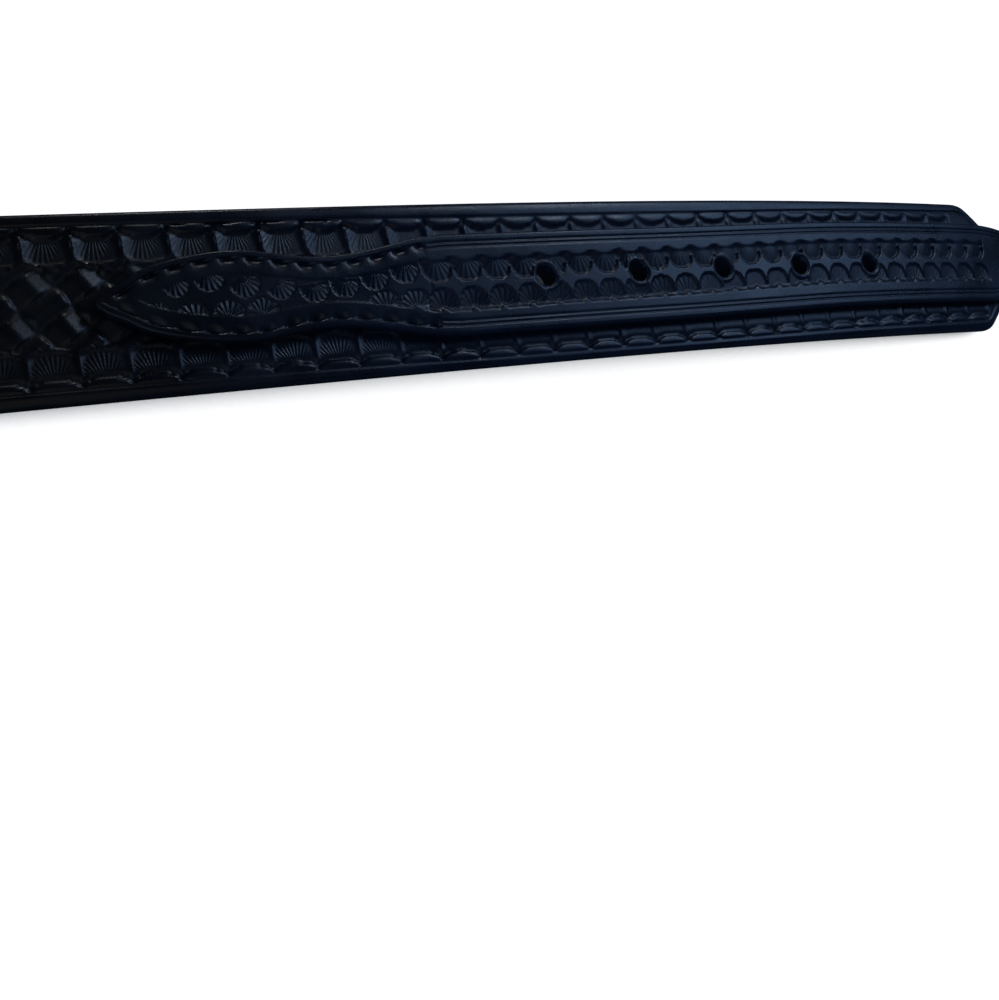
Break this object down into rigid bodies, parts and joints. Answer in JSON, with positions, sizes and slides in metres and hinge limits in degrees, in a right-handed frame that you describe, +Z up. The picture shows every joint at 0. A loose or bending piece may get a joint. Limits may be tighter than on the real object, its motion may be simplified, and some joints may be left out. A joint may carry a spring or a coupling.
{
  "type": "western tooled belt",
  "caption": "Long flat leather belt strap with shaped ends, a raised billet layer over the holed tip, a plain heel-bar buckle, a keeper loop and screw posts.",
  "frame": {"origin": "middle of the belt's length and width, on the surface that it lies on", "axes": "+X along the strap towards the holed tip, +Y across the strap, +Z up out of the tooled face"},
  "size_m": [1.012, 0.0382, 0.0171],
  "materials": {
    "strap_leather": "hand-tooled, dyed blue-black, satin",
    "overlay_leather": "hand-tooled, dyed blue-black, satin",
    "keeper_leather": "plain, dyed blue-black, satin",
    "buckle_steel": "polished nickel plate",
    "screw_steel": "polished nickel plate"
  },
  "bodies": {
    "root": {"body_strap": "strap_leather", "tip_overlay": "overlay_leather", "buckle": "buckle_steel", "keeper_loop": "keeper_leather", "screw_post_1": "screw_steel", "screw_post_2": "screw_steel"}
  },
  "joints": []
}
